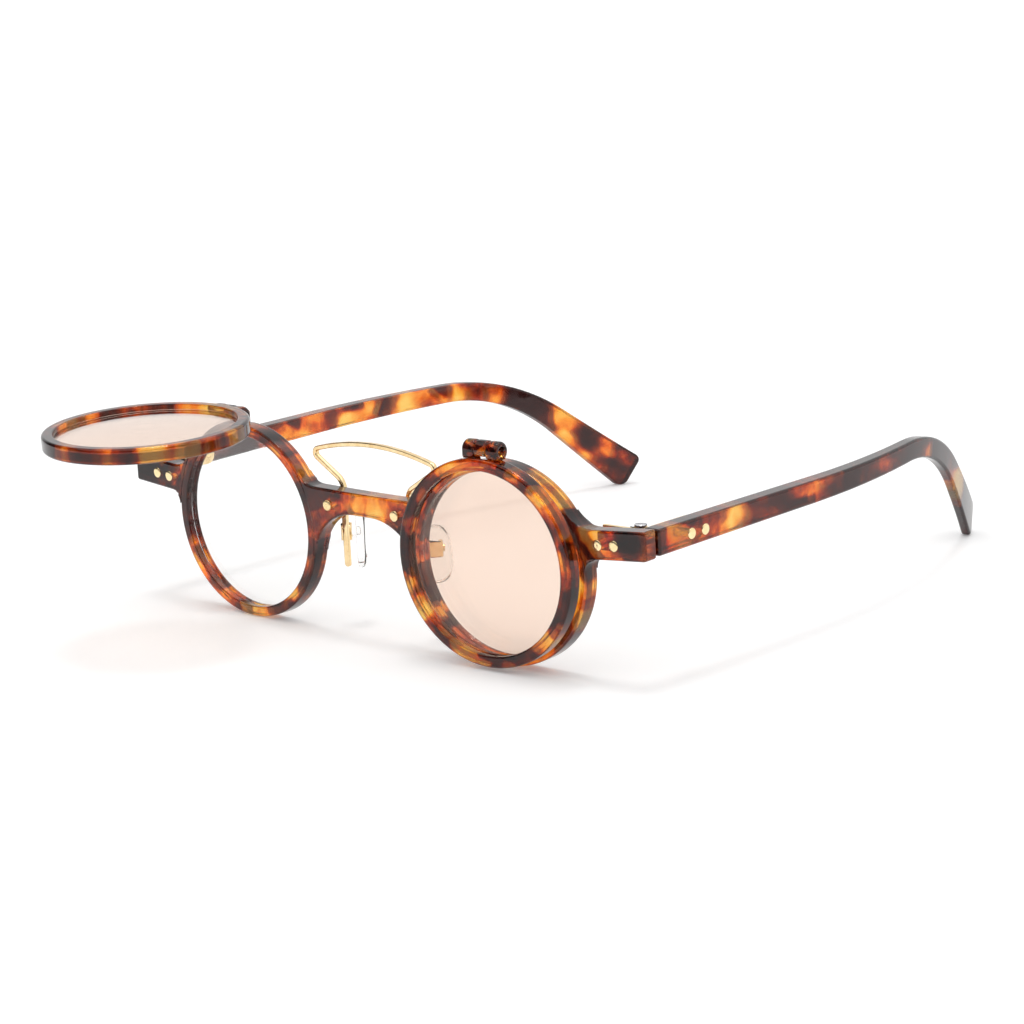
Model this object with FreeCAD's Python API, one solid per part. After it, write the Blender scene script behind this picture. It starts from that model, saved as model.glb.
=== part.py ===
import FreeCAD, Part
import math
import os
from FreeCAD import Vector

# Flip up sunglasses: a one-piece front with clear lenses, two tinted flip lenses on their own
# hinges, a metal brow bar with nose pads, and two folding temples. +Z is up, -Y is the front,
# +X is the wearer's left. All lengths are in millimetres.

# Front: the rims take what the gap for the nose and the two end pieces leave of its width,
# and are a little less tall than wide
front_w = 139.4
nose_gap = 27.4
end_len = 14.0
rim_tall_share = 0.94
rim_face = 2.2
front_t = 3.8
wrap_deg = 2.8
edge_round = 0.6
lip_round = 0.3

# Bridge and end pieces; heights named up or down are measured from the flip lenses' centre
bridge_up = 8.7
bridge_h = 4.5
bridge_flat = 23.0
bridge_top_blend = 5.5
bridge_low_blend = 12.0
end_h = 5.6
end_up = 5.2
end_tilt_deg = 4.4
end_top_blend = 6.5
end_low_blend = 2.5
end_corner = 0.8
blend_bite_share = 0.985

# Flip rims
flip_less_d = 2.0
flip_lift = 0.7
flip_wide_share = 1.045
flip_face = 2.3
flip_t = 3.2
flip_gap = 1.2
flip_up_deg = 88.0

# Lenses
lens_t = 1.6
tint_t = 1.6
lens_curve_r = 170.0
groove_depth = 0.5
groove_clear = 0.06
clear_depth_share = 0.58
tint_depth_share = 0.62

# Flip hinges
knuckle_d = 3.8
hinge_len = 8.4
hinge_mid = 2.8
flip_pin_d = 1.2
axis_ahead = 2.0
axis_over = 1.3
base_len = 3.0
base_depth = 1.8
base_set_back = 0.2
base_rise = 0.5

# Fits
seat_clear = 0.02
run_clear = 0.05
part_clear = 0.3
head_proud = 0.12

# Rivets
rivet_d = 1.7
rivet_head_over = 0.2
rivet_head_sunk = 0.4
front_rivet_in = 11.0
front_rivet_pitch = 3.8
temple_rivet_in = 9.3
temple_rivet_pitch = 3.9
bridge_rivet_pitch = 18.4
bridge_rivet_up = 5.5

# Temple hinges
barrel_d = 3.0
barrel_h = 4.4
barrel_count = 5
leaf_t = 0.9
leaf_over = 1.5
leaf_round_share = 0.4
screw_d = 1.2
screw_head_d = 2.4
screw_head_h = 0.5
axial_clear = 0.06

# Temples
temple_t = 3.7
temple_gap = 0.2
temple_up = 8.75
temple_rise = 0.15
temple_h = 5.1
temple_waist = 4.0
temple_bar_share = 0.737
temple_straight = 45.0
temple_reach = 130.0
tip_t = 2.1
tip_inset = 19.7
tip_inset_power = 2.0
tip_h = 8.1
tip_cut_deg = 57.8
tip_round = 1.6
drop_low_deg = 45.4
drop_top_deg = 38.5
bend_top_r = 45.0
bend_low_r = 36.7
temple_round = 0.6
curve_steps = 12

# Brow bar
bar_w = 0.95
bar_t = 1.1
bar_half_w = 17.8
bar_corner_up = 14.9
bar_corner_r = 1.0
bar_slope_deg = 14.0
bar_arc_share = 0.92
bar_foot_x = 8.9
bar_foot_up = 3.9
bar_neck_up = 9.4
bar_bend_r = 3.0
bar_plate_w = 3.0
bar_plate_h = 3.4

# Nose pads
arm_w = 1.4
arm_t = 0.7
arm_round_share = 0.45
arm_end_down = 7.7
arm_wire_d = 1.0
arm_wire_down = 0.2
wire_seat_share = 0.4
pad_x = 11.2
pad_back = 10.0
pad_down = 4.3
pad_turn_deg = 46.4
pad_w = 7.0
pad_h = 13.0
pad_t = 2.4
pad_front_share = 0.2
pad_round = 0.9
box_w = 3.0
box_h = 3.0
box_d = 2.1
box_front_share = 0.67
box_up = 2.4
box_back = 2.0
box_slot = 1.3
lug_t = 1.0
pad_screw_d = 0.8
pad_screw_head_d = 1.4
pad_screw_head_h = 0.4

# Shares used for tolerances only
mesh_share = 0.1
tiny_share = 0.0005

# Values worked out from the sizes above
rim_d = (front_w - nose_gap) / 2 - end_len
rim_pitch = rim_d + nose_gap
flip_d = rim_d - flip_less_d
overrun = rim_d
tiny = seat_clear * tiny_share
rim_r = rim_d / 2
flip_r = flip_d / 2
rim_x = rim_pitch / 2
rim_top = rim_d * rim_tall_share
lens_z = flip_r + flip_lift
bridge_top = lens_z + bridge_up
bridge_rivet_z = lens_z + bridge_rivet_up
end_mid = lens_z + end_up
temple_top = lens_z + temple_up
bar_corner_z = lens_z + bar_corner_up
bar_foot_z = lens_z + bar_foot_up
bar_neck_z = lens_z + bar_neck_up
arm_end_z = lens_z - arm_end_down
arm_wire_z = lens_z - arm_wire_down
pad_z = lens_z - pad_down
wrap = math.radians(wrap_deg)
clear_r = rim_r - rim_face
tint_r = flip_r - flip_face
knuckle_r = knuckle_d / 2
axis_v = -axis_ahead
axis_r = flip_r + axis_over
pin_r = flip_pin_d / 2
barrel_r = barrel_d / 2
screw_r = screw_d / 2
rivet_r = rivet_d / 2
end_u = (front_w / 2 - rim_x) / math.cos(wrap)
temple_x = front_w / 2 + head_proud
shapes = {}


def rect(x0, x1, y0, y1, z0, z1):
    return Part.makeBox(x1 - x0, y1 - y0, z1 - z0, Vector(x0, y0, z0))


def rod(radius, start, end):
    way = end - start
    return Part.makeCylinder(radius, way.Length, start, way)


def rivet(radius, start, end):
    """A rivet with a wider head sunk at its start, or the hole for one, which has a larger radius."""
    way = (end - start).normalize()
    deep = head_proud + rivet_head_sunk + radius - rivet_r
    head = rod(radius + rivet_head_over, start, start + way * deep)
    return rod(radius, start, end).fuse(head).removeSplitter().Solids[0]


def toRim(shape):
    """Move a shape from the rim's own frame to its place on the wearer's left."""
    moved = shape.copy()
    moved.rotate(Vector(0, 0, 0), Vector(0, 0, 1), wrap_deg)
    moved.translate(Vector(rim_x, 0, 0))
    return moved


def squash(shape):
    """Lower a shape that was made with round rims to the front's true height."""
    lower = FreeCAD.Matrix()
    lower.scale(1, 1, rim_tall_share)
    return shape.transformGeometry(lower)


def widen(shape):
    """Stretches a round piece of the flip lens sideways, in the rim's own frame."""
    wider = FreeCAD.Matrix()
    wider.scale(flip_wide_share, 1, 1)
    return shape.transformGeometry(wider)


def mirrored(shape):
    return shape.mirror(Vector(0, 0, 0), Vector(1, 0, 0))


def cornerArc(before, corner, after, radius):
    a = (before - corner).normalize()
    b = (after - corner).normalize()
    half = math.acos(max(-1, min(1, a.dot(b)))) / 2
    along = radius / math.tan(half)
    middle = corner + (a + b).normalize() * (radius / math.sin(half))
    inner = middle + (corner - middle).normalize() * radius
    return corner + a * along, inner, corner + b * along


def roundedEdges(points, radii, closed):
    """Straight edges through the points, with each corner turned by its own radius."""
    count = len(points)
    starts, ends, arcs = [], [], []
    for i, point in enumerate(points):
        if radii[i] and (closed or 0 < i < count - 1):
            first, inner, last = cornerArc(points[i - 1], point, points[(i + 1) % count], radii[i])
            arcs.append(Part.Arc(first, inner, last).toShape())
            starts.append(first)
            ends.append(last)
        else:
            arcs.append(None)
            starts.append(point)
            ends.append(point)
    edges = []
    for i in range(count):
        if arcs[i]:
            edges.append(arcs[i])
        if closed or i < count - 1:
            target = starts[(i + 1) % count]
            if (target - ends[i]).Length > tiny:
                edges.append(Part.makeLine(ends[i], target))
    return edges


def roundedFace(points, radii):
    return Part.Face(Part.Wire(Part.__sortEdges__(roundedEdges(points, radii, True))))


def ringSolid(inner_r, outer_r, v0, v1, groove_r, g0, g1, mid_z):
    """A rim turned about the lens axis, with a lens groove inside and rounded edges."""
    corners = [(inner_r, v0), (outer_r, v0), (outer_r, v1), (inner_r, v1),
               (inner_r, g1), (groove_r, g1), (groove_r, g0), (inner_r, g0)]
    radii = [lip_round, edge_round, edge_round, lip_round, 0, 0, 0, 0]
    face = roundedFace([Vector(r, v, mid_z) for r, v in corners], radii)
    turned = face.revolve(Vector(0, 0, mid_z), Vector(0, 1, 0), 360)
    turned.rotate(Vector(0, 0, mid_z), Vector(0, 1, 0), 90)
    return turned


def lensSolid(radius, thick, edge_v, mid_z):
    """A thin meniscus whose edge starts at edge_v and whose middle stands forward."""
    sag = lens_curve_r - math.sqrt(lens_curve_r ** 2 - radius ** 2)
    start = Vector(0, edge_v - sag - overrun / 2, mid_z)
    disc = Part.makeCylinder(radius, sag + thick + overrun, start, Vector(0, 1, 0))
    front = Part.makeSphere(lens_curve_r, Vector(0, edge_v - sag + lens_curve_r, mid_z))
    back = Part.makeSphere(lens_curve_r, Vector(0, edge_v - sag + lens_curve_r + thick, mid_z))
    return disc.common(front).cut(back)


def grooveSpan(radius, thick, edge_v):
    sag = lens_curve_r - math.sqrt(lens_curve_r ** 2 - radius ** 2)
    inside = radius - groove_depth
    slope = sag - (lens_curve_r - math.sqrt(lens_curve_r ** 2 - inside ** 2))
    return edge_v - slope - groove_clear, edge_v + thick + groove_clear


def blendPoints(centre, radius, on_line, way, outward, blend):
    """Tangent points of a hollow corner between a straight edge and the rim's circle."""
    base = on_line + outward * blend - centre
    along = base.dot(way)
    reach = math.sqrt((radius + blend) ** 2 - (base - way * along).Length ** 2)
    middle = centre + base - way * along + way * reach
    on_rim = centre + (middle - centre).normalize() * radius
    foot = middle - outward * blend
    inner = middle + ((foot - middle).normalize() + (on_rim - middle).normalize()).normalize() * blend
    return foot, inner, on_rim


def rimBite(centre, start, end):
    """A shallow arc just inside the rim's outline, so a joined piece ends within the rim."""
    a = start - centre
    b = end - centre
    middle = centre + (a + b).normalize() * rim_r * blend_bite_share
    return Part.Arc(start, middle, end).toShape()


def endPiece():
    centre = Vector(0, 0, rim_r)
    tilt = math.radians(end_tilt_deg)
    way = Vector(math.cos(tilt), 0, math.sin(tilt))
    up = Vector(-math.sin(tilt), 0, math.cos(tilt))
    middle = Vector(rim_r, 0, end_mid / rim_tall_share)
    tall = end_h / rim_tall_share
    top = middle + up * (tall / 2)
    low = middle - up * (tall / 2)
    foot_a, arc_a, rim_a = blendPoints(centre, rim_r, top, way, up, end_top_blend)
    foot_b, arc_b, rim_b = blendPoints(centre, rim_r, low, way, up * -1, end_low_blend)
    corner_a = top + way * ((end_u - top.x) / way.x)
    corner_b = low + way * ((end_u - low.x) / way.x)
    edges = [Part.Arc(rim_a, arc_a, foot_a).toShape(), Part.makeLine(foot_a, corner_a),
             Part.makeLine(corner_a, corner_b), Part.makeLine(corner_b, foot_b),
             Part.Arc(foot_b, arc_b, rim_b).toShape(), rimBite(centre, rim_b, rim_a)]
    piece = Part.Face(Part.Wire(edges)).extrude(Vector(0, front_t, 0))
    outer = [e for e in piece.Edges
             if abs(e.BoundBox.XMin - end_u) < seat_clear and e.BoundBox.ZLength > end_h / 2]
    return piece.makeFillet(end_corner, outer)


def bridgePiece():
    sides = []
    top_z = bridge_top / rim_tall_share
    low_z = (bridge_top - bridge_h) / rim_tall_share
    for sign in (1, -1):
        centre = Vector(sign * rim_x, 0, rim_r)
        top = blendPoints(centre, rim_r, Vector(0, 0, top_z), Vector(-sign, 0, 0), Vector(0, 0, 1),
                          bridge_top_blend)
        low = blendPoints(centre, rim_r, Vector(0, 0, low_z), Vector(-sign, 0, 0), Vector(0, 0, -1),
                          bridge_low_blend)
        sides.append((centre, top, low))
    (centre_l, top_l, low_l), (centre_r, top_r, low_r) = sides
    edges = [Part.makeLine(top_r[0], top_l[0]), Part.Arc(top_l[0], top_l[1], top_l[2]).toShape(),
             rimBite(centre_l, top_l[2], low_l[2]), Part.Arc(low_l[2], low_l[1], low_l[0]).toShape(),
             Part.makeLine(low_l[0], low_r[0]), Part.Arc(low_r[0], low_r[1], low_r[2]).toShape(),
             rimBite(centre_r, low_r[2], top_r[2]), Part.Arc(top_r[2], top_r[1], top_r[0]).toShape()]
    outline = Part.Face(Part.Wire(edges))
    outline.translate(Vector(0, -overrun, 0))
    return outline.extrude(Vector(0, 2 * overrun, 0)).common(wrapSlab())


def wrapPlan(depth):
    """Plan points of the wrapped front at a depth behind its front face, wearer's left only."""
    turn_x = bridge_flat / 2
    bow_r = turn_x / math.sin(wrap)
    turn_y = (turn_x - rim_x) * math.tan(wrap)
    bow_y = turn_y + bow_r * math.cos(wrap)
    turn = Vector(turn_x - depth * math.sin(wrap), turn_y + depth * math.cos(wrap), 0)
    far = Vector(rim_x - depth * math.sin(wrap), depth * math.cos(wrap), 0)
    return Vector(0, bow_y - bow_r + depth, 0), turn, far


def wrapSlab():
    edges = []
    for depth in (0, front_t):
        middle, turn, far = wrapPlan(depth)
        turn_m = Vector(-turn.x, turn.y, 0)
        far_m = Vector(-far.x, far.y, 0)
        edges += [Part.makeLine(far_m, turn_m), Part.Arc(turn_m, middle, turn).toShape(),
                  Part.makeLine(turn, far)]
    ends = [wrapPlan(depth)[2] for depth in (0, front_t)]
    edges.append(Part.makeLine(ends[0], ends[1]))
    edges.append(Part.makeLine(Vector(-ends[0].x, ends[0].y, 0), Vector(-ends[1].x, ends[1].y, 0)))
    return Part.Face(Part.Wire(Part.__sortEdges__(edges))).extrude(Vector(0, 0, rim_d))


def endHeight(u):
    return end_mid + (u - rim_r) * math.tan(math.radians(end_tilt_deg)) * rim_tall_share


def frontRivetPlaces():
    """Rivet centres along the end piece, in the rim's own frame."""
    return [end_u - front_rivet_in + i * front_rivet_pitch for i in (0, 1)]


def frontRivets(radius, back):
    pins = []
    for u in frontRivetPlaces():
        z = endHeight(u)
        pins.append(rivet(radius, Vector(u, -head_proud, z), Vector(u, back, z)))
    return pins


def bridgeRivets(radius, back):
    x = bridge_rivet_pitch / 2
    front_y = wrapPlan(0)[0].y
    z = bridge_rivet_z
    return [rivet(radius, Vector(s * x, front_y - head_proud, z), Vector(s * x, back, z)) for s in (1, -1)]


def frontFrame():
    edge_v = front_t * clear_depth_share - lens_t / 2
    g0, g1 = grooveSpan(clear_r + groove_depth, lens_t, edge_v)
    ring = toRim(ringSolid(clear_r, rim_r, 0, front_t, clear_r + groove_depth + seat_clear, g0, g1, rim_r))
    end = toRim(endPiece())
    front = squash(ring.fuse([mirrored(ring), end, mirrored(end), bridgePiece()]).removeSplitter())
    holes = [toRim(pin) for pin in frontRivets(rivet_r + seat_clear, front_t + overrun)]
    holes += [mirrored(hole) for hole in holes]
    holes += bridgeRivets(rivet_r + seat_clear, front_t + overrun)
    return front.cut(holes).Solids[0]


def clearLens():
    edge_v = front_t * clear_depth_share - lens_t / 2
    return toRim(squash(lensSolid(clear_r + groove_depth, lens_t, edge_v, rim_r)))


def flipParts():
    """The moving flip pieces and their fixed hinge pieces, closed, in the rim's own frame."""
    v0 = -flip_gap - flip_t
    axis = Vector(0, axis_v, lens_z + axis_r)
    half = hinge_len / 2
    mid = hinge_mid / 2
    edge_v = v0 + flip_t * tint_depth_share - tint_t / 2
    g0, g1 = grooveSpan(tint_r + groove_depth, tint_t, edge_v)
    ring = widen(ringSolid(tint_r, flip_r, v0, -flip_gap, tint_r + groove_depth + seat_clear, g0, g1, lens_z))
    lens = widen(lensSolid(tint_r + groove_depth, tint_t, edge_v, lens_z))

    def alongAxis(radius, u0, u1):
        return rod(radius, axis + Vector(u0, 0, 0), axis + Vector(u1, 0, 0))

    ring = ring.cut(alongAxis(knuckle_r + part_clear, -mid - part_clear, mid + part_clear))
    seat = widen(Part.makeCylinder(flip_r + seat_clear, 2 * overrun, Vector(0, -overrun, lens_z),
                                   Vector(0, 1, 0)))
    bore = alongAxis(pin_r + run_clear, -half - part_clear, half + part_clear)
    ears = []
    for u0, u1 in ((-half, -mid - axial_clear), (mid + axial_clear, half)):
        block = rect(u0, u1, axis.y - knuckle_r, -flip_gap - edge_round, lens_z + flip_r - knuckle_r, axis.z)
        ear = block.fuse(alongAxis(knuckle_r, u0, u1)).cut([seat, bore])
        ears.append(ear.removeSplitter().Solids[0])
    foot_v0 = base_set_back
    foot_v1 = foot_v0 + base_depth
    foot_u = base_len / 2
    foot = rect(-foot_u, foot_u, foot_v0, foot_v1, rim_top - knuckle_r, axis.z + base_rise)
    long_edges = [e for e in foot.Edges if e.BoundBox.XLength > foot_u and e.BoundBox.ZMax > axis.z]
    foot = foot.makeFillet(edge_round, long_edges)
    arm_top = axis.z + base_rise - edge_round / 2
    arm = rect(-mid, mid, axis.y, (foot_v0 + foot_v1) / 2, axis.z - knuckle_r / 2, arm_top)
    rim_seat = squash(Part.makeCylinder(rim_r + seat_clear, 2 * overrun, Vector(0, -overrun, rim_r),
                                        Vector(0, 1, 0)))
    room = widen(Part.makeCylinder(flip_r + part_clear, overrun, Vector(0, -overrun, lens_z),
                                   Vector(0, 1, 0)))
    base = foot.fuse([arm, alongAxis(knuckle_r, -mid, mid).cut(room)])
    base = base.cut([rim_seat, alongAxis(pin_r + seat_clear / 2, -half, half)]).removeSplitter()
    pin = alongAxis(pin_r, -half, half)
    return ring, lens, Part.makeCompound(ears), base, pin, axis


def bar(points, radii, width, thick, y):
    """A flat bar in the front view, swept along a path with rounded bends."""
    path = Part.Wire(roundedEdges(points, radii, False))
    way = (points[1] - points[0]).normalize()
    side = Vector(way.z, 0, -way.x)
    back = Vector(0, 1, 0)
    start = points[0]
    corners = [start + side * (s * width / 2) + back * (y + t * thick - start.y)
               for s, t in ((-1, 0), (1, 0), (1, 1), (-1, 1))]
    profile = Part.makePolygon(corners + corners[:1])
    return path.makePipeShell([profile], True, False)


def backOfBridge(x):
    turn = wrapPlan(front_t)[1]
    middle = wrapPlan(front_t)[0]
    if x >= turn.x:
        return turn.y + (x - turn.x) * math.tan(wrap)
    return middle.y + (turn.y - middle.y) * (x / turn.x) ** 2


def barFront():
    return backOfBridge(bridge_rivet_pitch / 2 + bar_plate_w / 2) + seat_clear


def browBar():
    """Up from the bridge, out to a tight corner, and over in one long arc to the other side."""
    y = barFront()
    slope = math.radians(bar_slope_deg)
    neck = Vector(bar_foot_x, y, bar_neck_z)
    corner = Vector(bar_half_w, y, bar_corner_z)
    peak = Vector(0, y, bar_corner_z + bar_half_w * math.tan(slope))
    left = [Vector(bar_foot_x, y, bar_foot_z), neck, corner]
    points = left + [peak] + [Vector(-p.x, p.y, p.z) for p in reversed(left)]
    used = (cornerArc(neck, corner, peak, bar_corner_r)[2] - corner).Length
    arc_r = ((peak - corner).Length - used) * bar_arc_share / math.tan(slope)
    radii = [0, bar_bend_r, bar_corner_r, arc_r, bar_corner_r, bar_bend_r, 0]
    strip = bar(points, radii, bar_w, bar_t, y)
    plates = []
    half = bar_plate_w / 2
    for s in (1, -1):
        x = s * bridge_rivet_pitch / 2
        plates.append(rect(x - half, x + half, y, y + bar_t, bar_foot_z, bar_foot_z + bar_plate_h))
    whole = strip.fuse(plates)
    return whole.cut(bridgeRivets(rivet_r + seat_clear, front_t + overrun)).removeSplitter().Solids[0]


def padFrame(shape):
    moved = shape.copy()
    moved.rotate(Vector(0, 0, 0), Vector(0, 0, 1), pad_turn_deg)
    moved.translate(Vector(pad_x, wrapPlan(0)[0].y + pad_back, pad_z))
    return moved


def padParts():
    """Pad, box, screw and arm for the wearer's left; the first three in the pad's own frame."""
    axis = Vector(0, -box_back, box_up)
    pad_y0 = -pad_t * pad_front_share
    body = rect(-pad_w / 2, pad_w / 2, pad_y0, pad_y0 + pad_t, -pad_h / 2, pad_h / 2)
    upright = [e for e in body.Edges if e.BoundBox.YLength > pad_t / 2]
    body = body.makeFillet(pad_w / 2 - pad_round, upright)
    rear = [e for e in body.Edges if e.BoundBox.YLength < seat_clear and e.BoundBox.YMin > 0]
    body = body.makeFillet(pad_round, rear)
    lug = rect(-lug_t / 2, lug_t / 2, axis.y, 0, axis.z - lug_t, axis.z + lug_t)
    eye = rod(lug_t, axis - Vector(lug_t / 2, 0, 0), axis + Vector(lug_t / 2, 0, 0))
    across = Vector(box_w / 2, 0, 0)
    screw_room = rod(pad_screw_d / 2 + run_clear, axis - across, axis + across)
    pad = body.fuse([lug, eye]).cut(screw_room).removeSplitter()
    box_y0 = axis.y - box_d * box_front_share
    box = rect(-box_w / 2, box_w / 2, box_y0, box_y0 + box_d, axis.z - box_h / 2, axis.z + box_h / 2)
    slot_y0 = axis.y - lug_t - part_clear
    slot = rect(-box_slot / 2, box_slot / 2, slot_y0, overrun, axis.z - overrun, axis.z + overrun)
    screw_hole = rod(pad_screw_d / 2 + seat_clear / 2, axis - across * 2, axis + across * 2)
    box = box.cut([slot, screw_hole]).removeSplitter()
    screw = rod(pad_screw_d / 2, axis - across, axis + across + Vector(pad_screw_head_h / 2, 0, 0))
    head_end = axis + across + Vector(pad_screw_head_h, 0, 0)
    head = rod(pad_screw_head_d / 2, axis + across + Vector(seat_clear, 0, 0), head_end)
    screw = screw.fuse(head).removeSplitter()
    y = barFront()
    x0 = bar_foot_x - arm_w / 2
    strip = rect(x0, x0 + arm_w, y, y + arm_t, arm_end_z, bar_foot_z - seat_clear)
    low = [e for e in strip.Edges
           if e.BoundBox.ZMax < arm_end_z + seat_clear and e.BoundBox.YLength > arm_t / 2]
    strip = strip.makeFillet(arm_w * arm_round_share, low)
    box_mid = padFrame(Part.Vertex(0, axis.y - box_d * wire_seat_share, axis.z)).Vertexes[0].Point
    wire = rod(arm_wire_d / 2, Vector(bar_foot_x, y + arm_t / 2, arm_wire_z), box_mid)
    room = padFrame(rect(-box_w / 2 - seat_clear, overrun, axis.y - overrun, overrun, -overrun, overrun))
    arm = strip.fuse(wire.cut(room)).removeSplitter()
    return padFrame(pad), padFrame(box), padFrame(screw), arm


def hingeAxis():
    """Plan place of the temple hinge's screw, clear of the end piece and of the temple."""
    x = temple_x - temple_t - barrel_r - part_clear
    y = (x - rim_x) * math.tan(wrap) + front_t / math.cos(wrap) + barrel_r + part_clear
    return Vector(x, y, 0)


def templeStart():
    return (temple_x - rim_x) * math.tan(wrap) + front_t / math.cos(wrap) + temple_gap


def tipShare(y):
    start = templeStart() + temple_straight
    return max(0, (y - start) / (temple_reach - start))


def templeCurve(y):
    return temple_x - tip_inset * tipShare(y) ** tip_inset_power


def templePlan():
    """Plan of the temple: straight behind the hinge, then curving in and thinning to the tip."""
    y0 = templeStart()
    y1 = y0 + temple_straight
    y2 = temple_reach + tip_h
    outer, inner = [], []
    for i in range(curve_steps + 1):
        y = y1 + (y2 - y1) * i / curve_steps
        step = seat_clear
        slope = (templeCurve(y + step) - templeCurve(max(y1, y - step))) / (2 * step)
        x = templeCurve(y)
        size = math.sqrt(1 + slope * slope)
        thick = temple_t - (temple_t - tip_t) * min(1, tipShare(y))
        outer.append(Vector(x, y, 0))
        inner.append(Vector(x - thick / size, y + thick * slope / size, 0))
    inner[0] = Vector(outer[0].x - temple_t, outer[0].y, 0)
    curves = []
    for points in (outer, inner):
        spline = Part.BSplineCurve()
        spline.interpolate(points, InitialTangent=Vector(0, 1, 0),
                           FinalTangent=(points[-1] - points[-2]).normalize())
        curves.append(spline.toShape())
    a = Vector(temple_x, y0, 0)
    b = Vector(temple_x - temple_t, y0 - temple_t * math.tan(wrap), 0)
    edges = [Part.makeLine(b, a), Part.makeLine(a, outer[0]), curves[0],
             Part.makeLine(outer[-1], inner[-1]), curves[1], Part.makeLine(inner[0], b)]
    return Part.Face(Part.Wire(Part.__sortEdges__(edges)))


def meet(p, a, q, b):
    """Where two lines in the side view cross, each a point and an angle in radians."""
    da = Vector(0, math.cos(a), math.sin(a))
    db = Vector(0, math.cos(b), math.sin(b))
    d = q - p
    t = (d.y * db.z - d.z * db.y) / (da.y * db.z - da.z * db.y)
    return p + da * t


def templeProfile():
    """Side view: a bar of slowly falling height, bent down to an obliquely cut tip on the floor."""
    y0 = templeStart() - temple_t
    low_a = math.radians(-drop_low_deg)
    top_a = math.radians(-drop_top_deg)
    cut_a = math.radians(tip_cut_deg)
    to_low = Vector(0, -math.cos(low_a), -math.sin(low_a))
    to_cut = Vector(0, math.cos(cut_a), math.sin(cut_a))
    half = math.acos(to_low.dot(to_cut)) / 2
    lift = (to_low + to_cut).normalize().z * tip_round / math.sin(half)
    heel = Vector(0, temple_reach, tip_round - lift)
    toe = heel + to_cut * tip_h
    start_top = Vector(0, y0, temple_top)
    start_low = Vector(0, y0, temple_top - temple_h)
    bar_l = (temple_reach - y0) * temple_bar_share
    top_rise = math.atan2(temple_rise, bar_l)
    low_rise = math.atan2(temple_rise + temple_h - temple_waist, bar_l)
    crest = meet(start_top, top_rise, toe, top_a)
    crook = meet(start_low, low_rise, heel, low_a)
    return roundedFace([start_top, crest, toe, heel, crook, start_low],
                       [0, bend_top_r, tip_round, tip_round, bend_low_r, 0])


def templeRivets(radius, inside):
    y = hingeAxis().y + temple_rivet_in - barrel_r
    z = temple_top - temple_h / 2
    return [rivet(radius, Vector(temple_x + head_proud, y + i * temple_rivet_pitch, z),
                  Vector(temple_x - temple_t - inside, y + i * temple_rivet_pitch, z)) for i in (0, 1)]


def temple():
    side = templeProfile()
    solid = side.extrude(Vector(2 * overrun + front_w, 0, 0))
    tall = templePlan().extrude(Vector(0, 0, 2 * overrun))
    tall.translate(Vector(0, 0, -overrun / 2))
    body = tall.common(solid)
    outer = []
    for edge in body.Edges:
        middle = edge.valueAt((edge.FirstParameter + edge.LastParameter) / 2)
        if edge.BoundBox.YLength > temple_round and middle.x > templeCurve(middle.y) - tip_t / 2:
            outer.append(edge)
    body = body.makeFillet(temple_round, outer)
    return body.cut(templeRivets(rivet_r + seat_clear, overrun)).Solids[0]


def templeHinge():
    """Front leaf, temple leaf and screw of the five-barrel hinge, wearer's left."""
    axis = hingeAxis()
    z0 = temple_top - temple_h / 2 - barrel_h / 2 - seat_clear
    step = barrel_h / barrel_count
    front_back = axis.y - barrel_r - part_clear
    u_in = frontRivetPlaces()[0] - rivet_r - leaf_over / 2
    leaf_z = (z0, z0 + barrel_h)
    axis_u = (axis.x - rim_x) / math.cos(wrap)
    plate = toRim(rect(u_in, axis_u, front_t + seat_clear, front_t + leaf_t, leaf_z[0], leaf_z[1]))
    rivets = [toRim(p) for p in frontRivets(rivet_r + seat_clear, front_t + overrun)]
    rivet_y = axis.y + temple_rivet_in - barrel_r + temple_rivet_pitch + rivet_r + leaf_over / 2
    inner_x = temple_x - temple_t - seat_clear
    blade = rect(inner_x - leaf_t, inner_x, axis.y, rivet_y, leaf_z[0], leaf_z[1])
    round_end = [e for e in blade.Edges
                 if e.BoundBox.YMin > rivet_y - seat_clear and e.BoundBox.XLength > leaf_t / 2]
    blade = blade.makeFillet(barrel_h * leaf_round_share, round_end)
    front_leaf, temple_leaf = plate, blade
    for i in range(barrel_count):
        a = z0 + i * step + axial_clear / 2
        b = z0 + (i + 1) * step - axial_clear / 2
        barrel = rod(barrel_r, Vector(axis.x, axis.y, a), Vector(axis.x, axis.y, b))
        room = rod(barrel_r + part_clear, Vector(axis.x, axis.y, a - axial_clear),
                   Vector(axis.x, axis.y, b + axial_clear))
        if i % 2:
            web = rect(axis.x, inner_x, axis.y, axis.y + barrel_r, a, b)
            temple_leaf = temple_leaf.fuse([barrel, web])
            front_leaf = front_leaf.cut(room)
        else:
            web = rect(axis.x - barrel_r, axis.x, front_back, axis.y, a, b).cut(endPieceBlank())
            front_leaf = front_leaf.fuse([barrel, web])
            temple_leaf = temple_leaf.cut(room)
    hole = rod(screw_r + run_clear, Vector(axis.x, axis.y, 0), Vector(axis.x, axis.y, rim_d))
    front_hole = rod(screw_r + seat_clear / 2, Vector(axis.x, axis.y, 0), Vector(axis.x, axis.y, rim_d))
    front_leaf = front_leaf.cut(rivets + [front_hole]).removeSplitter()
    temple_leaf = temple_leaf.cut(templeRivets(rivet_r + seat_clear, overrun) + [hole]).removeSplitter()
    top = Vector(axis.x, axis.y, z0 + barrel_h)
    head_low = top + Vector(0, 0, axial_clear)
    head_top = head_low + Vector(0, 0, screw_head_h)
    head = rod(screw_head_d / 2, head_low, head_top)
    screw = rod(screw_r, Vector(axis.x, axis.y, z0), head_top).fuse(head).removeSplitter()
    return front_leaf, temple_leaf, screw


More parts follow.
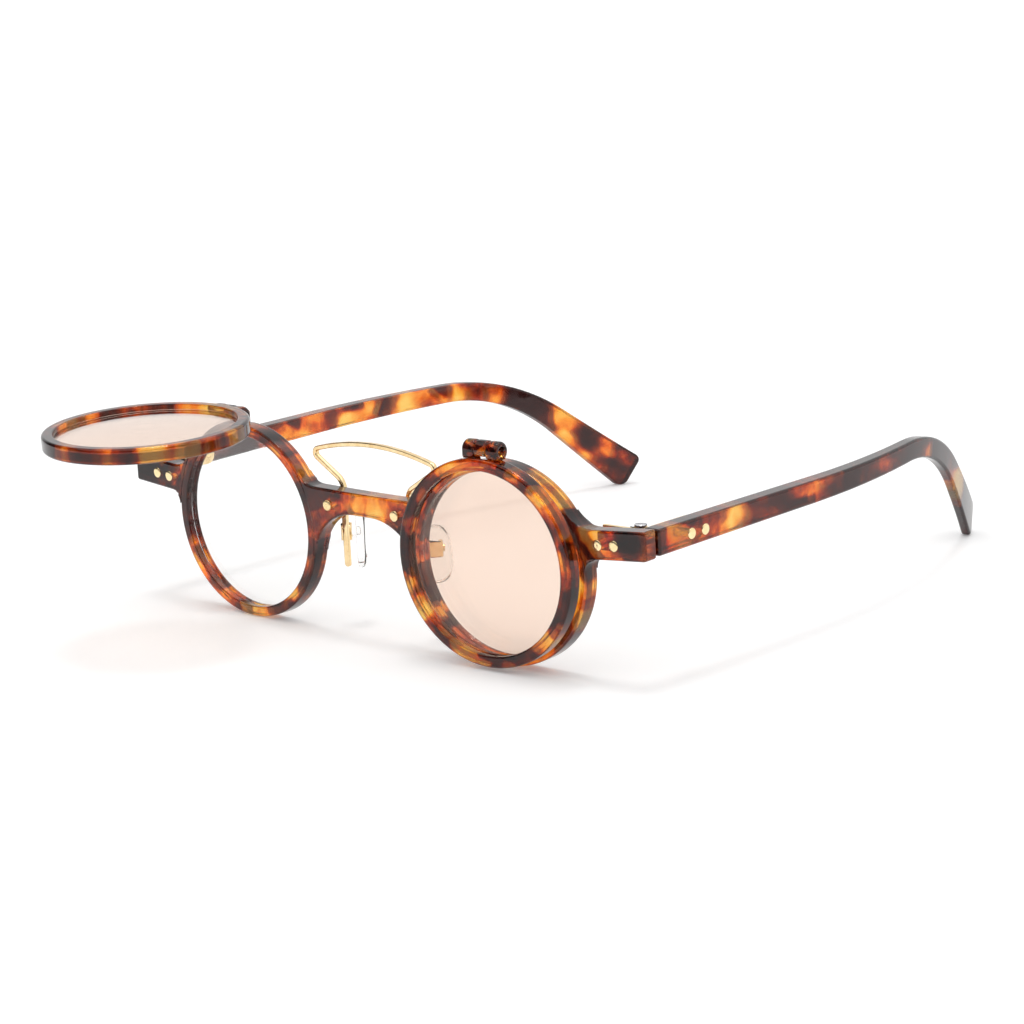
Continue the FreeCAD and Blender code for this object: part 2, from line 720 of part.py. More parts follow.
def endPieceBlank():
    """The end piece's back, a little enlarged, for keeping the hinge's webs off it."""
    return toRim(rect(0, end_u, -overrun, front_t + seat_clear, 0, rim_d))


def bothSides(name, shape):
    shapes[name + "_left"] = shape
    shapes[name + "_right"] = mirrored(shape)


def buildAll():
    shapes["front_frame"] = frontFrame()
    bothSides("clear_lens", clearLens())
    ring, tint, ears, base, pin, axis = flipParts()
    bothSides("flip_hinge_base", toRim(base))
    bothSides("flip_hinge_pin", toRim(pin))
    for name, shape in (("flip_rim", ring), ("tinted_lens", tint), ("flip_hinge_ears", ears)):
        shapes[name + "_left"] = toRim(shape)
        raised = shape.copy()
        raised.rotate(axis, Vector(-1, 0, 0), flip_up_deg)
        shapes[name + "_right"] = mirrored(toRim(raised))
    shapes["brow_bar"] = browBar()
    pad, box, screw, arm = padParts()
    bothSides("nose_pad", pad)
    bothSides("pad_box", box)
    bothSides("pad_screw", screw)
    bothSides("pad_arm", arm)
    front_leaf, temple_leaf, hinge_screw = templeHinge()
    bothSides("front_hinge_leaf", front_leaf)
    bothSides("temple_hinge_leaf", temple_leaf)
    bothSides("hinge_screw", hinge_screw)
    bothSides("temple", temple())
    front_pins = frontRivets(rivet_r, front_t + leaf_t + head_proud)
    bothSides("front_rivets", toRim(Part.makeCompound(front_pins)))
    bothSides("temple_rivets", Part.makeCompound(templeRivets(rivet_r, leaf_t + head_proud)))
    shapes["bridge_rivets"] = Part.makeCompound(bridgeRivets(rivet_r, barFront() + bar_t + head_proud))


def centreShift():
    """Middle of the assembly from front to back, so the origin sits under its middle."""
    low, high = overrun, -overrun
    for shape in shapes.values():
        for point in shape.tessellate(part_clear * mesh_share)[0]:
            low = min(low, point.y)
            high = max(high, point.y)
    return -(low + high) / 2


buildAll()
shift = Vector(0, centreShift(), 0)
os.makedirs("parts", exist_ok=True)
for name, shape in shapes.items():
    shape.translate(shift)
    shape.exportStep("parts/" + name + ".step")
    print(name, shape.isValid(), len(shape.Solids), round(shape.Volume, 2))
print("shift", round(shift.y, 4))
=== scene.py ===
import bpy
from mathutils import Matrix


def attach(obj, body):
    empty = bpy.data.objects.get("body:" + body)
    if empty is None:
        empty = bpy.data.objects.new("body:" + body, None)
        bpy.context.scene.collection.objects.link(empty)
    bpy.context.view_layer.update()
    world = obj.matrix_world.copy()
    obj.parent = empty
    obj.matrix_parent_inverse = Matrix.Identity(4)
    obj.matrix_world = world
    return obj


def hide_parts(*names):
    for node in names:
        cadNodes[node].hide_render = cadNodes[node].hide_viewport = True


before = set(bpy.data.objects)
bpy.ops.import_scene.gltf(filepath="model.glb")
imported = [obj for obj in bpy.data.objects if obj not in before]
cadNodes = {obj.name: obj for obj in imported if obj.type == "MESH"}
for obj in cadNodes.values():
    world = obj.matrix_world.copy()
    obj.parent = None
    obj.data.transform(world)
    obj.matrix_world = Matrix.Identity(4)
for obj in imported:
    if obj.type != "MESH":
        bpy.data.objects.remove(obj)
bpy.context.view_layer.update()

import math

import bmesh
import bpy
import numpy as np
from mathutils import Matrix, Vector

scene = bpy.context.scene
scene.view_settings.view_transform = "Standard"
mm = 0.001
backShift = -45.244  # the solids sit this far back of the front's own frame, in mm
bothSides = (("left", 1), ("right", -1))
forward = (0, -1, 0)
print("frame loaded,", len(cadNodes), "solids' nodes")


# Camera

cameraSet = {  # degrees and mm
    "azimuth": 43.487,
    "elevation": 12.952,
    "roll": -3.07,
    "distance": 660.6,
    "target": (0, 41.177 + backShift, 17.242),
    "lens": 114.354,
    "sensor": 36.0,
    "clipStart": 50.0,
}


def addCamera(c):
    a, e, r = (math.radians(c[k]) for k in ("azimuth", "elevation", "roll"))
    back = Vector((math.sin(a) * math.cos(e), -math.cos(a) * math.cos(e), math.sin(e)))
    right = Vector((0, 0, 1)).cross(back).normalized()
    up = back.cross(right)
    across = right * math.cos(r) + up * math.sin(r)
    upright = up * math.cos(r) - right * math.sin(r)
    eye = (Vector(c["target"]) + back * c["distance"]) * mm
    data = bpy.data.cameras.new("photoCamera")
    data.lens = c["lens"]
    data.sensor_width = c["sensor"]
    data.sensor_fit = "HORIZONTAL"
    data.clip_start = c["clipStart"] * mm
    cam = bpy.data.objects.new("photoCamera", data)
    cam.matrix_world = Matrix((
        (across.x, upright.x, back.x, eye.x),
        (across.y, upright.y, back.y, eye.y),
        (across.z, upright.z, back.z, eye.z),
        (0, 0, 0, 1)))
    scene.collection.objects.link(cam)
    scene.camera = cam


addCamera(cameraSet)
print("camera placed")


# Small node helpers

def put(tree, kind, values=None, **settings):
    node = tree.nodes.new(kind)
    for key, value in settings.items():
        setattr(node, key, value)
    for key, value in (values or {}).items():
        node.inputs[key].default_value = value
    return node


def wire(tree, *pairs):
    for source, target in pairs:
        tree.links.new(source, target)


def mixTones(tree, first=None, second=None):
    node = put(tree, "ShaderNodeMix", data_type="RGBA")
    for index, tone in ((6, first), (7, second)):  # the mix node's two colours
        if tone:
            node.inputs[index].default_value = (*tone, 1)
    return node


def fillRamp(ramp, stops):
    elements = ramp.color_ramp.elements
    while len(elements) < len(stops):
        elements.new(0.5)
    for element, (place, colour) in zip(elements, stops):
        element.position = place
        element.color = (*colour, 1)


def anyRay(tree, *kinds):
    rays = put(tree, "ShaderNodeLightPath")
    found = rays.outputs[kinds[0]]
    for kind in kinds[1:]:
        either = put(tree, "ShaderNodeMath", operation="MAXIMUM")
        wire(tree, (found, either.inputs[0]), (rays.outputs[kind], either.inputs[1]))
        found = either.outputs[0]
    return found


# Floor, lamps and surroundings

studio = {
    "floorSize": 16.0,  # metres
    "floorDrop": 0.05,  # mm
    "floorTone": (0.9, 0.9, 0.9),
    "floorRough": 0.7,
    "floorSheen": 0.1,
    "floorLift": 0.2,
    "ambient": 0.42,
    "backdropWay": (0.10, 0.88, -0.35),
    "backdropEdge": (-0.25, 0.3),
    "darkCorner": 0.06,
    "lamps": {  # way the light goes, spread in degrees, strength
        "overhead": ((0.06, -0.08, -1.0), 13.0, 0.5),
        "softRoof": ((-0.10, 0.10, -1.0), 100.0, 1.5),
    },
}


def addFloor(s):
    half = s["floorSize"] / 2
    z = -s["floorDrop"] * mm
    corners = [(-half, -half, z), (half, -half, z), (half, half, z), (-half, half, z)]
    mesh = bpy.data.meshes.new("floorSheet")
    mesh.from_pydata(corners, [], [range(len(corners))])
    floor = bpy.data.objects.new("floorSheet", mesh)
    scene.collection.objects.link(floor)
    paper = bpy.data.materials.new("whitePaper")
    paper.use_nodes = True
    tree = paper.node_tree
    shader = tree.nodes["Principled BSDF"]
    shader.inputs["Base Color"].default_value = (*s["floorTone"], 1)
    shader.inputs["Roughness"].default_value = s["floorRough"]
    shader.inputs["Specular IOR Level"].default_value = s["floorSheen"]
    shader.inputs["Emission Color"].default_value = (1, 1, 1, 1)
    seen = anyRay(tree, "Is Camera Ray", "Is Glossy Ray", "Is Transmission Ray")
    lift = put(tree, "ShaderNodeMath", {1: s["floorLift"]}, operation="MULTIPLY")
    wire(tree,
         (seen, lift.inputs[0]),
         (lift.outputs[0], shader.inputs["Emission Strength"]))
    mesh.materials.append(paper)


def addSurroundings(s):
    world = bpy.data.worlds.new("studioRoom")
    scene.world = world
    world.use_nodes = True
    tree = world.node_tree
    room = tree.nodes["Background"]
    room.inputs["Color"].default_value = (1, 1, 1, 1)
    way = put(tree, "ShaderNodeTexCoord")
    facing = put(tree, "ShaderNodeVectorMath", {1: s["backdropWay"]}, operation="DOT_PRODUCT")
    low, high = s["backdropEdge"]
    sweep = put(tree, "ShaderNodeMapRange",
                {"From Min": low, "From Max": high, "To Min": s["darkCorner"], "To Max": 1.0},
                interpolation_type="SMOOTHSTEP")
    mirrored = put(tree, "ShaderNodeMix", {"A": s["ambient"]}, data_type="FLOAT")
    looked = put(tree, "ShaderNodeMix", {"B": 1.0}, data_type="FLOAT")
    wire(tree,
         (way.outputs["Generated"], facing.inputs[0]),
         (facing.outputs["Value"], sweep.inputs["Value"]),
         (anyRay(tree, "Is Glossy Ray"), mirrored.inputs["Factor"]),
         (sweep.outputs["Result"], mirrored.inputs["B"]),
         (anyRay(tree, "Is Camera Ray", "Is Transmission Ray"), looked.inputs["Factor"]),
         (mirrored.outputs["Result"], looked.inputs["A"]),
         (looked.outputs["Result"], room.inputs["Strength"]))


def addLamps(lamps):
    for name, (way, spread, strength) in lamps.items():
        data = bpy.data.lights.new(name, "SUN")
        data.angle = math.radians(spread)
        data.energy = strength
        lamp = bpy.data.objects.new(name, data)
        lamp.rotation_euler = Vector(way).to_track_quat("-Z", "Y").to_euler()
        scene.collection.objects.link(lamp)


addFloor(studio)
addSurroundings(studio)
addLamps(studio["lamps"])
print("floor, lamps and surroundings placed")


# Effects shared by several finishes

def newGroup(name, inputs, outputs):
    tree = bpy.data.node_groups.new(name, "ShaderNodeTree")
    for label, kind in inputs:
        tree.interface.new_socket(label, in_out="INPUT", socket_type=kind)
    for label, kind in outputs:
        tree.interface.new_socket(label, in_out="OUTPUT", socket_type=kind)
    return tree, tree.nodes.new("NodeGroupInput"), tree.nodes.new("NodeGroupOutput")


patternSet = {
    "tones": [
        (0.38, (0.030, 0.006, 0.005)),
        (0.455, (0.085, 0.010, 0.005)),
        (0.505, (0.34, 0.026, 0.004)),
        (0.55, (0.86, 0.14, 0.008)),
        (0.60, (1.0, 0.37, 0.03)),
        (0.69, (1.0, 0.62, 0.13)),
    ],
    "warpShare": 0.6,  # of the patches' scale
    "warpDetail": 1.5,
    "cellBlend": 0.3,
    "cellShare": 0.30,
    "cellLift": 0.04,
    "patchShare": 0.62,
    "patchDetail": 2.0,
    "patchRough": 0.45,
    "streakTimes": 4.5,  # finer than the patches
    "streakShare": 0.10,
    "streakDetail": 3.0,
    "streakBend": 0.6,
}


def tortoiseGroup(p):
    # blocky, slightly warped patches of amber and near-black, with finer streaks along their edges
    tree, given, made = newGroup(
        "tortoiseshellPatches",
        [("Vector", "NodeSocketVector"), ("Patch Scale", "NodeSocketFloat"), ("Swirl", "NodeSocketFloat"),
         ("Darkness", "NodeSocketFloat"), ("Glow", "NodeSocketFloat"), ("Seed", "NodeSocketFloat")],
        [("Color", "NodeSocketColor")])
    warpScale = put(tree, "ShaderNodeMath", {1: p["warpShare"]}, operation="MULTIPLY")
    warp = put(tree, "ShaderNodeTexNoise", {"Detail": p["warpDetail"]}, noise_dimensions="4D")
    middle = put(tree, "ShaderNodeVectorMath", {1: (0.5, 0.5, 0.5)}, operation="SUBTRACT")
    push = put(tree, "ShaderNodeVectorMath", operation="SCALE")
    bent = put(tree, "ShaderNodeVectorMath", operation="ADD")
    seedAway = put(tree, "ShaderNodeCombineXYZ")
    cellPlace = put(tree, "ShaderNodeVectorMath", operation="ADD")
    cells = put(tree, "ShaderNodeTexVoronoi", {"Smoothness": p["cellBlend"]},
                voronoi_dimensions="3D", feature="SMOOTH_F1")
    cellTone = put(tree, "ShaderNodeSeparateColor")
    cellShare = put(tree, "ShaderNodeMath", {1: p["cellShare"], 2: p["cellLift"]}, operation="MULTIPLY_ADD")
    patches = put(tree, "ShaderNodeTexNoise", {"Detail": p["patchDetail"], "Roughness": p["patchRough"]},
                  noise_dimensions="4D")
    patchShare = put(tree, "ShaderNodeMath", {1: p["patchShare"]}, operation="MULTIPLY_ADD")
    streakScale = put(tree, "ShaderNodeMath", {1: p["streakTimes"]}, operation="MULTIPLY")
    streaks = put(tree, "ShaderNodeTexNoise", {"Detail": p["streakDetail"], "Distortion": p["streakBend"]},
                  noise_dimensions="3D")
    streakShare = put(tree, "ShaderNodeMath", {1: p["streakShare"], 2: -p["streakShare"] / 2},
                      operation="MULTIPLY_ADD")
    both = put(tree, "ShaderNodeMath", operation="ADD")
    lit = put(tree, "ShaderNodeMath", operation="ADD")
    dimmed = put(tree, "ShaderNodeMath", operation="SUBTRACT")
    ramp = put(tree, "ShaderNodeValToRGB")
    fillRamp(ramp, p["tones"])
    wire(tree,
         (given.outputs["Patch Scale"], warpScale.inputs[0]),
         (given.outputs["Vector"], warp.inputs["Vector"]),
         (given.outputs["Seed"], warp.inputs["W"]),
         (warpScale.outputs[0], warp.inputs["Scale"]),
         (warp.outputs["Color"], middle.inputs[0]),
         (middle.outputs[0], push.inputs[0]),
         (given.outputs["Swirl"], push.inputs["Scale"]),
         (given.outputs["Vector"], bent.inputs[0]),
         (push.outputs[0], bent.inputs[1]),
         (bent.outputs[0], patches.inputs["Vector"]),
         (given.outputs["Patch Scale"], patches.inputs["Scale"]),
         (given.outputs["Seed"], patches.inputs["W"]),
         (given.outputs["Seed"], seedAway.inputs["X"]),
         (bent.outputs[0], cellPlace.inputs[0]),
         (seedAway.outputs[0], cellPlace.inputs[1]),
         (cellPlace.outputs[0], cells.inputs["Vector"]),
         (given.outputs["Patch Scale"], cells.inputs["Scale"]),
         (cells.outputs["Color"], cellTone.inputs["Color"]),
         (cellTone.outputs["Red"], cellShare.inputs[0]),
         (patches.outputs["Fac"], patchShare.inputs[0]),
         (cellShare.outputs[0], patchShare.inputs[2]),
         (given.outputs["Patch Scale"], streakScale.inputs[0]),
         (bent.outputs[0], streaks.inputs["Vector"]),
         (streakScale.outputs[0], streaks.inputs["Scale"]),
         (streaks.outputs["Fac"], streakShare.inputs[0]),
         (patchShare.outputs[0], both.inputs[0]),
         (streakShare.outputs[0], both.inputs[1]),
         (both.outputs[0], lit.inputs[0]),
         (given.outputs["Glow"], lit.inputs[1]),
         (lit.outputs[0], dimmed.inputs[0]),
         (given.outputs["Darkness"], dimmed.inputs[1]),
         (dimmed.outputs[0], ramp.inputs["Fac"]),
         (ramp.outputs["Color"], made.inputs["Color"]))
    return tree


handlingSet = {
    "smudge": {"Detail": 4.0, "Roughness": 0.6, "Distortion": 0.4},
    "smudgeSpread": {"From Min": 0.38, "From Max": 0.68},
    "hairStretch": (1.0, 0.08, 1.0),
    "hair": {"Scale": 5200.0, "Detail": 2.0},
    "hairline": {"From Min": 0.66, "From Max": 0.72},
    "scratchDeep": 0.02,  # mm
}


def handlingGroup(h):
    # finger smudges, uneven polish and hairline scratches
    tree, given, made = newGroup(
        "handlingMarks",
        [("Vector", "NodeSocketVector"), ("Smudge Scale", "NodeSocketFloat"), ("Polished", "NodeSocketFloat"),
         ("Dulled", "NodeSocketFloat")],
        [("Roughness", "NodeSocketFloat"), ("Scratches", "NodeSocketFloat"), ("Tone", "NodeSocketFloat")])
    smudge = put(tree, "ShaderNodeTexNoise", h["smudge"])
    spread = put(tree, "ShaderNodeMapRange", h["smudgeSpread"])
    stretch = put(tree, "ShaderNodeVectorMath", {1: h["hairStretch"]}, operation="MULTIPLY")
    hair = put(tree, "ShaderNodeTexNoise", h["hair"])
    hairline = put(tree, "ShaderNodeMapRange", h["hairline"])
    wire(tree,
         (given.outputs["Vector"], smudge.inputs["Vector"]),
         (given.outputs["Smudge Scale"], smudge.inputs["Scale"]),
         (smudge.outputs["Fac"], spread.inputs["Value"]),
         (given.outputs["Polished"], spread.inputs["To Min"]),
         (given.outputs["Dulled"], spread.inputs["To Max"]),
         (given.outputs["Vector"], stretch.inputs[0]),
         (stretch.outputs[0], hair.inputs["Vector"]),
         (hair.outputs["Fac"], hairline.inputs["Value"]),
         (spread.outputs["Result"], made.inputs["Roughness"]),
         (hairline.outputs["Result"], made.inputs["Scratches"]),
         (smudge.outputs["Fac"], made.inputs["Tone"]))
    return tree


tortoisePatches = tortoiseGroup(patternSet)
handlingMarks = handlingGroup(handlingSet)
print("shared effects built")


# Finishes

def newFinish(name, settings):
    finish = bpy.data.materials.new(name)
    finish.use_nodes = True
    tree = finish.node_tree
    shader = tree.nodes["Principled BSDF"]
    for key, value in settings.items():
        shader.inputs[key].default_value = value
    place = put(tree, "ShaderNodeTexCoord").outputs["Object"]
    return finish, tree, shader, place


def addHandling(tree, shader, place, m):
    marks = put(tree, "ShaderNodeGroup", node_tree=handlingMarks)
    for label, key in (("Smudge Scale", "smudge"), ("Polished", "polished"), ("Dulled", "dulled")):
        marks.inputs[label].default_value = m[key]
    bump = put(tree, "ShaderNodeBump",
               {"Strength": m["scratch"], "Distance": handlingSet["scratchDeep"] * mm})
    wire(tree,
         (place, marks.inputs["Vector"]),
         (marks.outputs["Roughness"], shader.inputs["Roughness"]),
         (marks.outputs["Scratches"], bump.inputs["Height"]),
         (bump.outputs["Normal"], shader.inputs["Normal"]))
    return marks


def slantMask(tree, span, ends):
    # runs from one end to the other as the surface turns away
    low, high = span
    slant = put(tree, "ShaderNodeLayerWeight", {"Blend": 0.5})
    mask = put(tree, "ShaderNodeMapRange",
               {"From Min": low, "From Max": high, "To Min": ends[0], "To Max": ends[1]},
               interpolation_type="SMOOTHSTEP")
    wire(tree, (slant.outputs["Facing"], mask.inputs["Value"]))
    return mask.outputs["Result"]


plasticSet = {
    "shader": {"IOR": 1.49, "Transmission Weight": 0.86, "Specular IOR Level": 0.1, "Metallic": 0.0,
               "Coat Weight": 0.03, "Coat Roughness": 0.03},
    "marks": {"smudge": 220.0, "polished": 0.05, "dulled": 0.14, "scratch": 0.12},
    "spotCore": 0.3,  # share of a spot that has its full strength
    "outlineShadeSpan": (0.35, 0.85),
    "outlineShadeEnds": (1.0, 0.25),  # painted shade: the colour darkens along the outline as the surface turns away, for the dark rim thick clear plastic shows
}
tortoiseSet = {
    # through: the patches run farther along the way with the smallest share
    # spots: light and dark places, listed in mm, with their reach and strength
    "tortoiseFront": {
        "patchScale": 200.0, "swirl": 0.004, "darkness": 0.0, "seed": 3.1, "through": (1.0, 0.3, 1.0),
        "spots": [((56.0, 1.0, 26.5), 4.0, 0.06), ((66.0, 3.0, 27.0), 5.0, -0.12),
                  ((0.0, 0.0, 27.0), 9.0, 0.07)]},
    "tortoiseFlipDown": {
        "patchScale": 200.0, "swirl": 0.004, "darkness": 0.0, "seed": 4.6, "through": (1.0, 0.3, 1.0),
        "spots": []},
    # painted light: the raised rim's copy is a touch lighter than the lowered rim's, for the light it catches
    # standing up
    "tortoiseFlipUp": {
        "patchScale": 200.0, "swirl": 0.004, "darkness": -0.01, "seed": 4.6, "through": (1.0, 1.0, 0.3),
        "spots": []},
    "tortoiseHinge": {
        "patchScale": 420.0, "swirl": 0.002, "darkness": 0.02, "seed": 2.2, "through": (1.0, 0.5, 1.0),
        "spots": []},
    "tortoiseTempleLeft": {
        "patchScale": 135.0, "swirl": 0.004, "darkness": 0.075, "seed": 1.7, "through": (0.25, 1.0, 1.0),
        "spots": [((69.8, 11.0, 26.9), 5.5, 0.14), ((69.8, 28.8, 27.2), 5.0, 0.26),
                  ((69.8, 51.0, 27.0), 5.0, 0.07), ((68.8, 63.0, 28.2), 4.0, 0.06),
                  ((68.8, 77.5, 28.2), 5.0, 0.08), ((62.0, 118.0, 14.0), 9.0, 0.12)]},
    "tortoiseTempleRight": {
        "patchScale": 150.0, "swirl": 0.003, "darkness": 0.01, "seed": 8.9, "through": (0.25, 1.0, 1.0),
        "spots": [((-65.5, 67.0, 27.4), 4.0, 0.08), ((-65.5, 77.0, 27.2), 3.5, 0.12),
                  ((-65.5, 90.3, 26.7), 4.0, 0.16), ((-65.5, 96.0, 26.6), 3.0, -0.10),
                  ((-65.5, 101.4, 25.6), 4.0, 0.12), ((-62.0, 107.0, 23.7), 5.0, -0.10),
                  ((-58.5, 118.5, 17.0), 5.5, 0.16), ((-56.0, 122.5, 12.0), 5.0, -0.10),
                  ((-49.5, 132.0, 3.5), 6.0, 0.10)]},
}


def tortoiseFinish(name, t):
    finish, tree, shader, place = newFinish(name, plasticSet["shader"])
    grain = put(tree, "ShaderNodeVectorMath", {1: t["through"]}, operation="MULTIPLY")
    patches = put(tree, "ShaderNodeGroup", node_tree=tortoisePatches)
    for label, key in (("Patch Scale", "patchScale"), ("Swirl", "swirl"), ("Darkness", "darkness"),
                       ("Seed", "seed")):
        patches.inputs[label].default_value = t[key]
    glow = patches.inputs["Glow"]
    for (x, y, z), reach, gain in t["spots"]:
        spotPlace = Vector((x, y + backShift, z)) * Vector(t["through"]) * mm
        apart = put(tree, "ShaderNodeVectorMath", {1: spotPlace}, operation="DISTANCE")
        spot = put(tree, "ShaderNodeMapRange",
                   {"From Min": plasticSet["spotCore"] * reach * mm, "From Max": reach * mm,
                    "To Min": gain, "To Max": 0.0},
                   interpolation_type="SMOOTHSTEP")
        more = put(tree, "ShaderNodeMath", {1: 0.0}, operation="ADD")
        wire(tree,
             (grain.outputs[0], apart.inputs[0]),
             (apart.outputs["Value"], spot.inputs["Value"]),
             (spot.outputs["Result"], more.inputs[0]),
             (more.outputs[0], glow))
        glow = more.inputs[1]  # the next spot adds to this one
    # painted shade: the pattern's colour is darkened where the surface turns away from view, along every
    # outline
    outlineShaded = put(tree, "ShaderNodeVectorMath", operation="SCALE")
    wire(tree,
         (place, grain.inputs[0]),
         (grain.outputs[0], patches.inputs["Vector"]),
         (patches.outputs["Color"], outlineShaded.inputs[0]),
         (slantMask(tree, plasticSet["outlineShadeSpan"], plasticSet["outlineShadeEnds"]), outlineShaded.inputs["Scale"]),
         (outlineShaded.outputs[0], shader.inputs["Base Color"]))
    addHandling(tree, shader, place, plasticSet["marks"])
    return finish


metalSet = {
    "paleGold": {
        "bright": (0.96, 0.76, 0.45), "deep": (0.80, 0.54, 0.24), "toneSpan": (0.4, 0.75),
        "marks": {"smudge": 420.0, "polished": 0.08, "dulled": 0.20, "scratch": 0.25}},
    "creamGold": {
        "bright": (1.0, 0.80, 0.46), "deep": (0.96, 0.70, 0.34), "toneSpan": (0.4, 0.75),
        "marks": {"smudge": 420.0, "polished": 0.18, "dulled": 0.30, "scratch": 0.25}},
    "turnedSteel": {
        "bright": (0.78, 0.78, 0.80), "deep": (0.55, 0.55, 0.58), "toneSpan": (0.0, 1.0),
        "marks": {"smudge": 650.0, "polished": 0.16, "dulled": 0.34, "scratch": 0.35}},
}


def metalFinish(name, m):
    finish, tree, shader, place = newFinish(name, {"Metallic": 1.0})
    marks = addHandling(tree, shader, place, m["marks"])
    low, high = m["toneSpan"]
    spread = put(tree, "ShaderNodeMapRange", {"From Min": low, "From Max": high})
    tones = mixTones(tree, m["bright"], m["deep"])
    wire(tree,
         (marks.outputs["Tone"], spread.inputs["Value"]),
         (spread.outputs["Result"], tones.inputs["Factor"]),
         (tones.outputs[2], shader.inputs["Base Color"]))
    return finish


slantSpan = (0.45, 0.8)
clearSet = {  # aslant: the deeper tone of a lens that is looked through at a slant
    "clearLens": {
        "shader": {"Metallic": 0.0, "IOR": 1.45, "Transmission Weight": 1.0, "Specular IOR Level": 0.4},
        "high": (0.985, 0.99, 0.99), "low": (0.975, 0.985, 0.985), "aslant": (0.96, 0.975, 0.975),
        "marks": {"smudge": 90.0, "polished": 0.0, "dulled": 0.03, "scratch": 0.04}},
    "tintedLens": {
        "shader": {"Metallic": 0.0, "IOR": 1.45, "Transmission Weight": 1.0, "Specular IOR Level": 0.4},
        "high": (0.89, 0.71, 0.60), "low": (0.91, 0.73, 0.62), "aslant": (0.70, 0.52, 0.42),
        "marks": {"smudge": 90.0, "polished": 0.0, "dulled": 0.03, "scratch": 0.04}},
    "clearSilicone": {
        "shader": {"Metallic": 0.0, "IOR": 1.38, "Transmission Weight": 1.0},
        "high": (0.99, 0.99, 0.985), "low": (0.96, 0.96, 0.94), "aslant": None,
        "marks": {"smudge": 300.0, "polished": 0.02, "dulled": 0.09, "scratch": 0.06}},
}


def clearFinish(name, c):
    finish, tree, shader, place = newFinish(name, c["shader"])
    marks = addHandling(tree, shader, place, c["marks"])
    tones = mixTones(tree, c["high"], c["low"])
    wire(tree, (marks.outputs["Tone"], tones.inputs["Factor"]))
    if c["aslant"]:
        straight = tones
        tones = mixTones(tree, second=c["aslant"])
        wire(tree,
             (slantMask(tree, slantSpan, (0.0, 1.0)), tones.inputs["Factor"]),
             (straight.outputs[2], tones.inputs[6]))
    wire(tree, (tones.outputs[2], shader.inputs["Base Color"]))
    return finish


finishes = {}
for makeFinish, looks in ((tortoiseFinish, tortoiseSet), (metalFinish, metalSet), (clearFinish, clearSet)):
    for name, look in looks.items():
        finishes[name] = makeFinish(name, look)
print("finishes made:", ", ".join(finishes))


# Mesh helpers

meshSet = {"weld": 0.001, "flatAngle": 0.4, "endReach": 0.01}  # mm and degrees


def weldedMesh(node):
    bm = bmesh.new()
    bm.from_mesh(cadNodes[node].data)
    bmesh.ops.remove_doubles(bm, verts=bm.verts, dist=meshSet["weld"] * mm)
    return bm


def addPiece(bm, name, body, finish, replaced, smoothAngle):
    mesh = bpy.data.meshes.new(name)
    bm.normal_update()
    bm.to_mesh(mesh)
    bm.free()
    for face in mesh.polygons:
        face.use_smooth = True
    mesh.set_sharp_from_angle(angle=math.radians(smoothAngle))
    mesh.materials.append(finishes[finish])
    piece = bpy.data.objects.new(name, mesh)
    scene.collection.objects.link(piece)
    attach(piece, body)
    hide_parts(*replaced)
    return piece


def roundEdges(bm, width, segments, angle, skip=None):
    flat = math.radians(meshSet["flatAngle"])
    bmesh.ops.dissolve_limit(bm, angle_limit=flat, verts=bm.verts, edges=bm.edges)
    edges = []
    for edge in bm.edges:
        if not edge.is_manifold or edge.calc_face_angle(0) < math.radians(angle):
            continue
        middle = (edge.verts[0].co + edge.verts[1].co) / 2
        if skip is None or not skip(middle):
            edges.append(edge)
    bmesh.ops.bevel(bm, geom=edges, offset=width * mm, offset_type="OFFSET", segments=segments, profile=0.5,
                    affect="EDGES", clamp_overlap=False)


def lathe(bm, profile, matrix, steps):
    rings = []
    for r, h in profile:
        if r == 0:
            rings.append([bm.verts.new(matrix @ Vector((0, 0, h * mm)))])
            continue
        turn = [2 * math.pi * i / steps for i in range(steps)]
        rings.append([bm.verts.new(matrix @ Vector((r * mm * math.cos(t), r * mm * math.sin(t), h * mm)))
                      for t in turn])
    for low, high in zip(rings, rings[1:]):
        for i in range(steps):
            j = (i + 1) % steps
            if len(low) == 1:
                bm.faces.new((low[0], high[j], high[i]))
            elif len(high) == 1:
                bm.faces.new((low[i], low[j], high[0]))
            else:
                bm.faces.new((low[i], low[j], high[j], high[i]))


def looseRods(node, outward):
    # middle, axis and length of each separate rod of a node, from its own mesh
    bm = weldedMesh(node)
    left = set(bm.verts)
    rods = []
    while left:
        stack = [left.pop()]
        found = []
        while stack:
            vert = stack.pop()
            found.append(vert.co.copy())
            for edge in vert.link_edges:
                other = edge.other_vert(vert)
                if other in left:
                    left.remove(other)
                    stack.append(other)
        points = np.array([tuple(p) for p in found])
        middle = (points.min(0) + points.max(0)) / 2
        axis = Vector(np.linalg.svd(points - points.mean(0), full_matrices=False)[2][0])
        if axis.dot(Vector(outward)) < 0:
            axis.negate()
        along = (points - middle) @ np.array(axis)
        length = float(along.max() - along.min())
        outerEnd = Vector(points[along > along.max() - meshSet["endReach"] * mm].mean(0))
        rods.append((outerEnd - axis * (length / 2), axis, length / mm))
    bm.free()
    return rods


def alongAxis(centre, axis):
    return Matrix.Translation(centre) @ axis.to_track_quat("Z", "Y").to_matrix().to_4x4()


# Rivets with low domed heads

rivetSet = {
    "head": 1.06,  # radii and heights in mm
    "headTall": 0.5,
    "shank": 0.85,
    "dome": 0.11,
    "dimple": 0.035,
    "edge": 0.08,
    "dimpleShares": [(0.0, 1.0), (0.22, 0.6)],  # of the radius, of the dimple's depth
    "domeShares": [(0.40, 1.0), (0.62, 0.82), (0.82, 0.45), (0.95, 0.05)],  # of the radius, of the dome
    "steps": 48,
    "smooth": 50,
}


